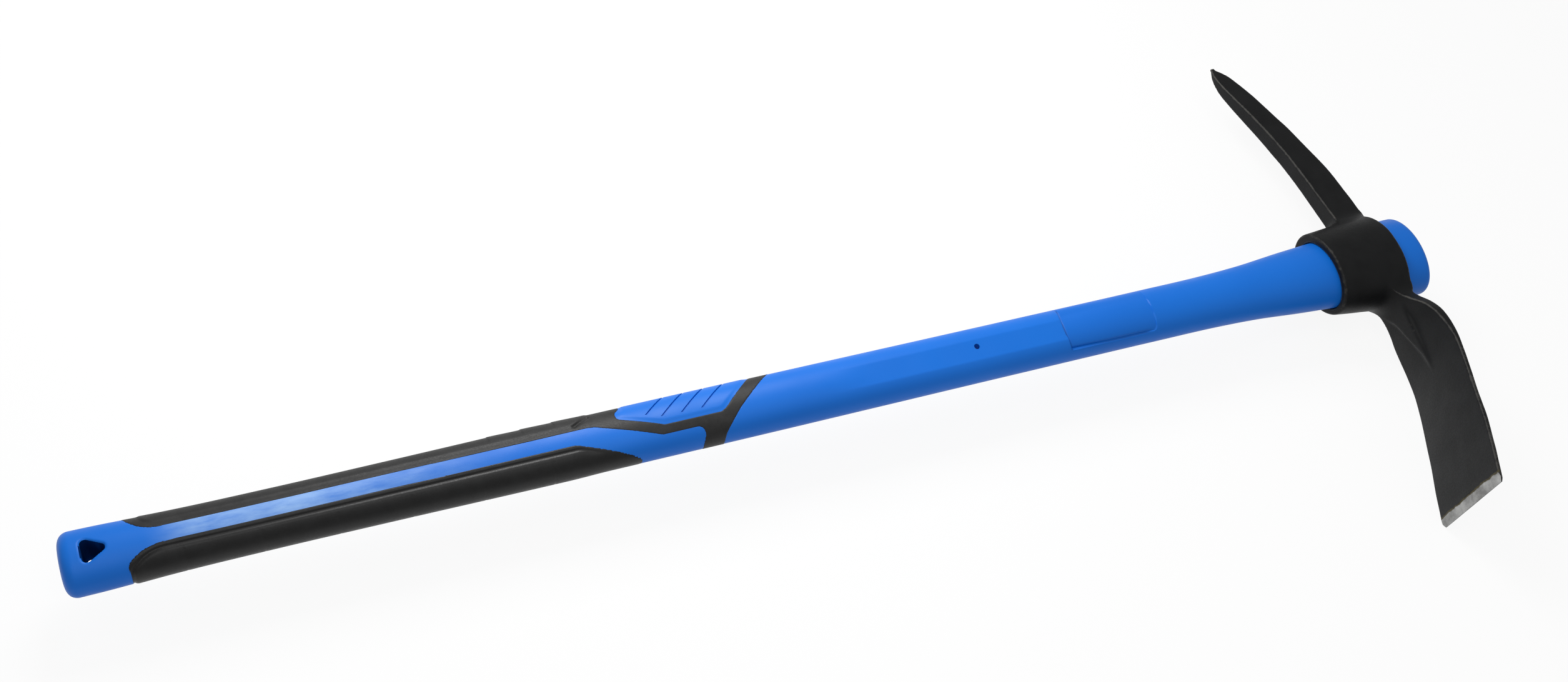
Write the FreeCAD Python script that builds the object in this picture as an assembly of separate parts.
import FreeCAD, Part
import math
import os

# A pick mattock: a one-piece forged head on a drop-in handle.
# Millimetres. +X runs along the handle from the butt towards the head, +Y is the pick's side,
# -Y is the broad blade's side, and +Z is square to the tool's plane. The tool is alike on both
# sides of that plane. The origin is the middle of the hang hole. Sizes along the handle are
# measured from the butt's end, and moved to the origin where a shape is made.

Vec = FreeCAD.Vector

# The handle. Depths run along Y and widths along Z.
HANDLE_LENGTH = 900.0
BUTT_DEPTH = 37.6
BUTT_WIDTH = 27.8
WAIST_DEPTH = 33.9
WAIST_WIDTH = 25.6
WAIST_FROM_BUTT = 112.0
SHAFT_DEPTH = 36.8
SHAFT_WIDTH = 27.0
FLARE_LENGTH = 139.0
TOP_STANDOUT = 24.5
END_ROUNDING = 3.4
BUTT_ROUNDING = 4.6

# The hang hole, a rounded triangle with its blunt side towards the butt's end
HOLE_FROM_BUTT = 17.0
HOLE_BACK = 4.4
HOLE_AHEAD = 8.8
HOLE_HALF_HEIGHT = 7.9
HOLE_ROUNDING = 2.5

# The eye, the forged ring that the handle drops through. Its bore widens towards the top end.
EYE_LENGTH = 51.8
MOUTH_DEPTH = 50.0
MOUTH_WIDTH = 34.6
TAPER_DEPTH = 10.4
TAPER_WIDTH = 6.0
EYE_WALL_MOUTH = 4.9
EYE_WALL_TOP = 6.1
SEAT_CLEARANCE = 0.3
EYE_LIP_ROUNDING = 1.6

# The pick
PICK_REACH = 187.0
PICK_SET_BACK = 39.9
PICK_THICKNESS = 11.4
PICK_ROOT_THICKNESS = 13.0
PICK_TIP_THICKNESS = 1.2
PICK_POINT_LENGTH = 26.0
PICK_ROOT_DEPTH = 21.7
PICK_EDGE_ROUNDING = 1.6

# The broad blade
BLADE_REACH = 186.2
BLADE_SET_BACK = 40.2
BLADE_EDGE_WIDTH = 71.4
BLADE_BODY_WIDTH = 59.6
BLADE_NECK_WIDTH = 38.0
BLADE_THICKNESS = 4.2
BLADE_ROOT_THICKNESS = 12.0
BEVEL_LENGTH = 7.0
BLADE_EDGE_ROUNDING = 0.8
RIB_WIDTH = 17.0

# The core, and the mark of the pin that held it in the mould
CORE_DEPTH = 23.0
CORE_WIDTH = 14.0
CORE_GAP_TO_HOLE = 4.4
PIN_HOLE_DIAMETER = 3.4
PIN_HOLE_TO_PANEL = 64.7

# The two rubber grips. Heights are measured from the handle's middle.
RUBBER_DEPTH = 1.9
RIM_PROUD = 0.15
CUSHION_PROUD = 0.4
CUSHION_INSET = 4.0
CUSHION_OVERLAP = 0.1
GROOVE_WIDTH = 1.3
GROOVE_DEPTH = 0.7
GRIP_START = 34.3
STRIP_END = 295.7
STRIP_EDGE = 4.4
PAD_SHORTFALL = 12.7
PAD_EDGE = -4.3
DROP_LENGTH = 38.2
BAND_LOW = -9.9
BAND_REACH = 75.9
BAND_WIDTH = 13.6
WINDOW_START = 14.5
WINDOW_LOW = -4.0

# The slots in the thumb pad
SLOT_WIDTH = 0.9
SLOT_DEPTH = 0.6
SLOT_PITCH = 12.9
SLOT_SLOPE = math.radians(38.8)
SLOT_START = 44.3
SLOT_START_HEIGHT = 14.3
SLOT_LOW_ENDS = (4.3, 1.1, 0.7, 0.7)
SLOT_RUN_OUT = 12.0

# The bare panel near the head
PANEL_DEPTH = 0.35
PANEL_LENGTH = 65.6
PANEL_TO_FLARE = 6.5
PANEL_HALF_HEIGHT = 15.5
PANEL_ROUNDING = 3.0

# Worked out from the sizes above
EYE_END = HANDLE_LENGTH - TOP_STANDOUT
EYE_START = EYE_END - EYE_LENGTH
FLARE_START = EYE_START - FLARE_LENGTH
TOP_DEPTH = MOUTH_DEPTH + TAPER_DEPTH
TOP_WIDTH = MOUTH_WIDTH + TAPER_WIDTH
CORE_FROM_BUTT = HOLE_FROM_BUTT + HOLE_AHEAD + CORE_GAP_TO_HOLE
PANEL_END = FLARE_START - PANEL_TO_FLARE
PANEL_START = PANEL_END - PANEL_LENGTH
PIN_HOLE_FROM_BUTT = PANEL_START - PIN_HOLE_TO_PANEL
PAD_END = STRIP_END - PAD_SHORTFALL
BAND_END = STRIP_END + BAND_REACH
ROOT_HEIGHT = MOUTH_DEPTH / 2 - 3.0

# Reaches past everything: how far a cutting shape runs out of the tool, and a skin out of the handle
FAR = 60.0
CLEAR = 1.0

SECTION_TURN = FreeCAD.Rotation(Vec(0, 1, 0), Vec(0, 0, 1), Vec(1, 0, 0), "XYZ")


def along(from_butt):
    # The place on the X axis of a distance measured from the butt's end.
    return from_butt - HOLE_FROM_BUTT


def between(start, end, share):
    return start + (end - start) * share


def point(from_butt, height, side=0.0):
    return Vec(along(from_butt), height, side)


def oval(from_butt, half_depth, half_width):
    # An oval section square to the handle, deeper along Y than it is wide along Z.
    ring = Part.Ellipse(Vec(0, 0, 0), half_depth, half_width).toShape()
    ring.Placement = FreeCAD.Placement(point(from_butt, 0), SECTION_TURN)
    return Part.Wire([ring])


def handle_sections():
    # Distance from the butt, depth and width of each section. Each span of the handle runs from
    # one named section to the next. Its steps are shares of its length, and of the change in size.
    butt = (BUTT_DEPTH, BUTT_WIDTH)
    waist = (WAIST_DEPTH, WAIST_WIDTH)
    shaft = (SHAFT_DEPTH, SHAFT_WIDTH)
    mouth = (MOUTH_DEPTH, MOUTH_WIDTH)
    top = (TOP_DEPTH, TOP_WIDTH)
    eye_share = EYE_LENGTH / (EYE_LENGTH + TOP_STANDOUT)
    spans = [
        (0.0, WAIST_FROM_BUTT, butt, waist, [(0, 0), (0.17, 0.11), (0.5, 0.78), (1, 1)]),
        (WAIST_FROM_BUTT, FLARE_START, waist, shaft, [(0.1, 0.21), (0.27, 0.79), (0.47, 1), (0.8, 1)]),
        (FLARE_START, EYE_START, shaft, mouth, [(0, 0.03), (0.31, 0.08), (0.56, 0.28), (0.81, 0.73)]),
        (EYE_START, HANDLE_LENGTH, mouth, top, [(0, 0), (eye_share, 0.9), (1, 1)]),
    ]
    sections = []
    for start, end, first, second, steps in spans:
        for share, change in steps:
            depth = between(first[0], second[0], change)
            width = between(first[1], second[1], change)
            sections.append((between(start, end, share), depth, width))
    return sections


def handle_body(offset=0.0):
    # The handle's outer form, swelled or shrunk by an even offset.
    rings = []
    for place, depth, width in handle_sections():
        rings.append(oval(place, depth / 2 + offset, width / 2 + offset))
    return Part.makeLoft(rings, True, False)


def side_prism(outline):
    # An outline seen from the side, extended through the tool along Z.
    face = Part.Face(outline)
    face.translate(Vec(0, 0, -FAR))
    return face.extrude(Vec(0, 0, 2 * FAR))


def layer(inner, outer, outline):
    # The part of the handle's skin between two offsets that lies inside an outline seen from the side.
    skin = handle_body(outer).cut(handle_body(inner))
    return skin.common(side_prism(outline))


def rounded_outline(corners):
    # A closed outline in the tool's plane. Each corner is a distance from the butt, a height
    # and the radius that rounds it.
    places = [point(corner[0], corner[1]) for corner in corners]
    count = len(places)
    starts = []
    ends = []
    middles = []
    for index, corner in enumerate(corners):
        here = places[index]
        back = (places[index - 1] - here).normalize()
        ahead = (places[(index + 1) % count] - here).normalize()
        half_angle = back.getAngle(ahead) / 2
        reach = corner[2] / math.tan(half_angle)
        starts.append(here + back * reach)
        ends.append(here + ahead * reach)
        inward = (back + ahead).normalize()
        middles.append(here + inward * (corner[2] / math.sin(half_angle) - corner[2]))
    edges = []
    for index, corner in enumerate(corners):
        if corner[2] > 0:
            edges.append(Part.Arc(starts[index], middles[index], ends[index]).toShape())
        edges.append(Part.LineSegment(ends[index], starts[(index + 1) % count]).toShape())
    return Part.Wire(edges)


def strip_outline():
    # The upper rubber: a strip along the spine that drops across the side as a band and
    # runs down to the belly and up to the spine as the two legs of a Y.
    belly = -SHAFT_DEPTH / 2
    return rounded_outline([
        (GRIP_START + 0.9, FAR, 0),
        (GRIP_START + 0.9, STRIP_EDGE, 18.0),
        (STRIP_END - 1.9, STRIP_EDGE, 14.0),
        (STRIP_END + DROP_LENGTH, BAND_LOW, 8.0),
        (BAND_END - 9.7, BAND_LOW, 4.0),
        (BAND_END - BAND_WIDTH, belly, 0),
        (BAND_END - BAND_WIDTH, -FAR, 0),
        (BAND_END, -FAR, 0),
        (BAND_END, belly + 0.6, 8.0),
        (BAND_END + 13.6, -4.6, 60.0),
        (BAND_END + 37.3, 14.6, 0),
        (BAND_END + 93.0, FAR, 0),
    ])


def window_outline():
    # The window in the upper rubber, through which the jacket stands as a thumb pad.
    return rounded_outline([
        (STRIP_END + 112.5, FAR, 0),
        (STRIP_END + WINDOW_START, 11.0, 3.5),
        (STRIP_END + WINDOW_START, 6.1, 2.6),
        (STRIP_END + DROP_LENGTH + 2.6, WINDOW_LOW, 5.0),
        (BAND_END + 2.6, WINDOW_LOW, 9.0),
        (BAND_END + 24.0, 14.6, 0),
        (BAND_END + 78.0, FAR, 0),
    ])


def pad_outline():
    # The lower rubber pad, which wraps the belly.
    return rounded_outline([
        (GRIP_START - 1.1, -FAR, 0),
        (GRIP_START - 1.1, -12.0, 5.0),
        (GRIP_START + 10.2, PAD_EDGE, 30.0),
        (PAD_END - 1.2, PAD_EDGE, 16.0),
        (PAD_END + 35.0, -SHAFT_DEPTH / 2, 4.0),
        (PAD_END + 39.0, -FAR, 0),
    ])


def pad_cushion_outline(inset=0.0):
    # The raised middle of the lower pad.
    edge = PAD_EDGE - CUSHION_INSET - inset
    return rounded_outline([
        (GRIP_START + 1.8 + inset, -FAR, 0),
        (GRIP_START + 1.8 + inset, -15.5, 4.0 - inset),
        (GRIP_START + 12.4 + inset, edge, 22.0 - inset),
        (PAD_END + 0.4 - inset, edge, 10.0 - inset),
        (PAD_END + 14.0 - inset, -SHAFT_DEPTH / 2, 0),
        (PAD_END + 16.0 - inset, -FAR, 0),
    ])


def strip_cushion_outline(inset=0.0):
    # The raised middle of the spine strip. It ends in an oblique groove.
    edge = STRIP_EDGE + CUSHION_INSET + inset
    return rounded_outline([
        (GRIP_START + 7.7 + inset, FAR, 0),
        (GRIP_START + 7.7 + inset, edge, 9.0 - inset),
        (STRIP_END - 11.0 - inset, edge, 2.0),
        (STRIP_END + 48.0 - inset, FAR, 0),
    ])


def grip(outline, cushion, window=None):
    # One rubber moulding: a rim nearly level with the jacket, a fine groove and a raised cushion.
    groove_floor = RIM_PROUD - GROOVE_DEPTH
    rubber = layer(-RUBBER_DEPTH, RIM_PROUD, outline)
    rubber = rubber.cut(layer(groove_floor, CLEAR, cushion()))
    raised = layer(groove_floor - CUSHION_OVERLAP, CUSHION_PROUD, cushion(GROOVE_WIDTH))
    rubber = rubber.fuse(raised)
    if window is not None:
        rubber = rubber.cut(side_prism(window))
    return rubber.removeSplitter()


def make_core():
    # The pultruded fibreglass rod, from short of the hang hole to the handle's top end.
    face = Part.Face(oval(CORE_FROM_BUTT, CORE_DEPTH / 2, CORE_WIDTH / 2))
    return face.extrude(Vec(HANDLE_LENGTH - CORE_FROM_BUTT, 0, 0))


def hang_hole():
    return side_prism(rounded_outline([
        (HOLE_FROM_BUTT - HOLE_BACK, HOLE_HALF_HEIGHT, HOLE_ROUNDING),
        (HOLE_FROM_BUTT - HOLE_BACK, -HOLE_HALF_HEIGHT, HOLE_ROUNDING),
        (HOLE_FROM_BUTT + HOLE_AHEAD, 0.0, HOLE_ROUNDING),
    ]))


def pin_holes():
    # One blind hole on each side, down to the core.
    start = point(PIN_HOLE_FROM_BUTT, 0, -FAR)
    return Part.makeCylinder(PIN_HOLE_DIAMETER / 2, 2 * FAR, start, Vec(0, 0, 1))


def label_panel():
    # A shallow bare panel near the head, on both sides.
    return layer(-PANEL_DEPTH, CLEAR, rounded_outline([
        (PANEL_START, -PANEL_HALF_HEIGHT, PANEL_ROUNDING),
        (PANEL_END, -PANEL_HALF_HEIGHT, PANEL_ROUNDING),
        (PANEL_END, PANEL_HALF_HEIGHT, PANEL_ROUNDING),
        (PANEL_START, PANEL_HALF_HEIGHT, PANEL_ROUNDING),
    ]))


def thumb_slots():
    # Slanting slots across the thumb pad, evenly spaced, which run out over the spine.
    slope = Vec(math.cos(SLOT_SLOPE), math.sin(SLOT_SLOPE), 0)
    across = Vec(-slope.y, slope.x, 0) * SLOT_WIDTH
    slots = []
    for index, low_end in enumerate(SLOT_LOW_ENDS):
        middle = point(STRIP_END + SLOT_START + SLOT_PITCH * index, SLOT_START_HEIGHT)
        first = middle - slope * ((SLOT_START_HEIGHT - low_end) / slope.y)
        last = middle + slope * SLOT_RUN_OUT
        corners = [first, last, last + across, first + across, first]
        slots.append(layer(-SLOT_DEPTH, CLEAR, Part.makePolygon(corners)))
    return slots


def make_jacket(core):
    # The moulded plastic jacket that carries the core and both rubber grips.
    jacket = handle_body()
    butt_edges = [edge for edge in jacket.Edges if edge.BoundBox.XMax < along(0.5)]
    jacket = jacket.makeFillet(BUTT_ROUNDING, butt_edges)
    top_edges = [edge for edge in jacket.Edges if edge.BoundBox.XMin > along(HANDLE_LENGTH - 0.5)]
    jacket = jacket.makeFillet(END_ROUNDING, top_edges)
    strip_recess = layer(-RUBBER_DEPTH, CLEAR, strip_outline()).cut(side_prism(window_outline()))
    pad_recess = layer(-RUBBER_DEPTH, CLEAR, pad_outline())
    openings = [strip_recess, pad_recess, label_panel(), hang_hole(), pin_holes(), core]
    for opening in openings + thumb_slots():
        jacket = jacket.cut(opening)
    return jacket


def curve_through(places):
    curve = Part.BSplineCurve()
    curve.interpolate([point(place, height) for place, height in places])
    return curve.toShape()


def straight(first, last):
    return Part.LineSegment(point(*first), point(*last)).toShape()


def bar_profile(outer, inner, tip):
    # A bar seen from the side, between a curved outer edge and a curved inner edge that starts at
    # the root. A straight bevel joins the inner edge to the tip, where the outer edge ends.
    edges = [
        curve_through(outer),
        straight(outer[-1], tip),
        straight(tip, inner[-1]),
        curve_through(inner),
        straight(inner[0], outer[0]),
    ]
    return side_prism(Part.Wire(Part.__sortEdges__(edges)))


def plan_prism(half_widths):
    # A shape seen along the handle: heights and half widths, alike on both sides of the tool's plane.
    start = along(EYE_START - FAR)
    sides = []
    for sign in (1, -1):
        curve = Part.BSplineCurve()
        curve.interpolate([Vec(start, height, sign * half) for height, half in half_widths])
        sides.append(curve.toShape())
    for height, half in (half_widths[0], half_widths[-1]):
        sides.append(Part.LineSegment(Vec(start, height, half), Vec(start, height, -half)).toShape())
    face = Part.Face(Part.Wire(Part.__sortEdges__(sides)))
    return face.extrude(Vec(EYE_LENGTH + 2 * FAR, 0, 0))


def soften(bar, radius, least_length):
    # Round the long edges of a forged bar.
    edges = [edge for edge in bar.Edges if edge.Length > least_length]
    return bar.makeFillet(radius, edges)


def make_pick():
    # The pick: a square-sided bar that bows back towards the grip and tapers to a point. Each
    # place is a share of its reach, and stands off the point's own place towards the top end.
    reach = PICK_REACH
    tip = EYE_END - PICK_SET_BACK
    top = EYE_END + 3.5
    outer = [
        (top, ROOT_HEIGHT),
        (top - 0.9, 0.29 * reach),
        (tip + 31.9, 0.56 * reach),
        (tip + 15.6, 0.835 * reach),
        (tip + 7.5, 0.958 * reach),
    ]
    inner = [
        (top - PICK_ROOT_DEPTH, ROOT_HEIGHT),
        (top - PICK_ROOT_DEPTH - 2.2, 0.30 * reach),
        (tip + 13.7, 0.55 * reach),
        (tip + 1.5, 0.81 * reach),
        (tip - 2.3, 0.93 * reach),
    ]
    profile = bar_profile(outer, inner, (tip, reach))
    plan = plan_prism([
        (ROOT_HEIGHT, PICK_ROOT_THICKNESS / 2),
        (0.42 * reach, PICK_THICKNESS / 2),
        (0.70 * reach, PICK_THICKNESS / 2 - 0.5),
        (reach - PICK_POINT_LENGTH, PICK_THICKNESS / 2 - 1.7),
        (reach, PICK_TIP_THICKNESS / 2),
    ])
    return soften(profile.common(plan), PICK_EDGE_ROUNDING, PICK_REACH / 2)


def make_blade():
    # The broad blade: a thick neck under the eye that spreads and thins into a curved hoe blade.
    reach = BLADE_REACH
    edge = EYE_END - BLADE_SET_BACK
    top = EYE_END + 0.8
    thickness = BLADE_THICKNESS
    outer = [
        (top - 2.4, -ROOT_HEIGHT),
        (top, -0.30 * reach),
        (edge + 37.0, -0.455 * reach),
        (edge + 27.8, -0.615 * reach),
        (edge + 16.7, -0.79 * reach),
        (edge + 4.8, -0.945 * reach),
    ]
    inner = [
        (top - 2.4 - 1.9 * BLADE_ROOT_THICKNESS, -ROOT_HEIGHT),
        (top - 0.3 - BLADE_ROOT_THICKNESS, -0.235 * reach),
        (top - 1.0 - 1.4 * thickness, -0.36 * reach),
        (edge + 32.0 - thickness, -0.54 * reach),
        (edge + 16.7 - thickness, -0.79 * reach),
        (edge + 3.7 - 0.8 * thickness, -(reach - BEVEL_LENGTH)),
    ]
    profile = bar_profile(outer, inner, (edge, -reach))
    plan = plan_prism([
        (-ROOT_HEIGHT, BLADE_NECK_WIDTH / 2),
        (-0.26 * reach, BLADE_BODY_WIDTH / 2 - 7.0),
        (-0.36 * reach, BLADE_BODY_WIDTH / 2 - 1.2),
        (-0.55 * reach, BLADE_BODY_WIDTH / 2 + 0.6),
        (-0.80 * reach, between(BLADE_BODY_WIDTH, BLADE_EDGE_WIDTH, 0.68) / 2),
        (-reach, BLADE_EDGE_WIDTH / 2),
    ])
    return soften(profile.common(plan), BLADE_EDGE_ROUNDING, BLADE_REACH / 2)


def make_rib():
    # The forged rib on the blade's inner face, which fans out of the eye and dies into the blade.
    start = -0.15 * BLADE_REACH
    middle = -0.34 * BLADE_REACH
    end = -0.53 * BLADE_REACH
    inner_face = EYE_END - 0.8 - 2.1 * BLADE_ROOT_THICKNESS
    profile = side_prism(Part.makePolygon([
        point(inner_face, start),
        point(EYE_END - 0.8, start),
        point(EYE_END - 1.8, -0.40 * BLADE_REACH),
        point(EYE_END - 5.8 - BLADE_THICKNESS, end),
        point(inner_face, start),
    ]))
    plan = plan_prism([
        (start, RIB_WIDTH / 2),
        (middle, RIB_WIDTH / 2 * 0.62),
        (end, RIB_WIDTH / 2 * 0.2),
    ])
    return profile.common(plan)


def make_head():
    # The forged head: the tapered oval eye with the pick on one side and the blade on the other.
    eye = Part.makeLoft([
        oval(EYE_START, MOUTH_DEPTH / 2 + EYE_WALL_MOUTH, MOUTH_WIDTH / 2 + EYE_WALL_MOUTH),
        oval(EYE_END, TOP_DEPTH / 2 + EYE_WALL_TOP, TOP_WIDTH / 2 + EYE_WALL_TOP),
    ], True, True)
    eye = eye.makeFillet(EYE_LIP_ROUNDING, [edge for edge in eye.Edges if len(edge.Vertexes) == 1])
    head = eye.fuse([make_pick(), make_blade(), make_rib()]).removeSplitter()
    return head.cut(handle_body(SEAT_CLEARANCE))


def save(shape, name):
    shape.exportStep("parts/" + name + ".step")
    print(name, "solids", len(shape.Solids), "valid", shape.isValid(), "volume", round(shape.Volume, 1))


def main():
    os.makedirs("parts", exist_ok=True)
    core = make_core()
    strip = grip(strip_outline(), strip_cushion_outline, window_outline())
    pad = grip(pad_outline(), pad_cushion_outline)
    save(core, "handle_core")
    save(strip, "grip_strip")
    save(pad, "grip_pad")
    save(make_jacket(core), "handle_jacket")
    save(make_head(), "mattock_head")


main()
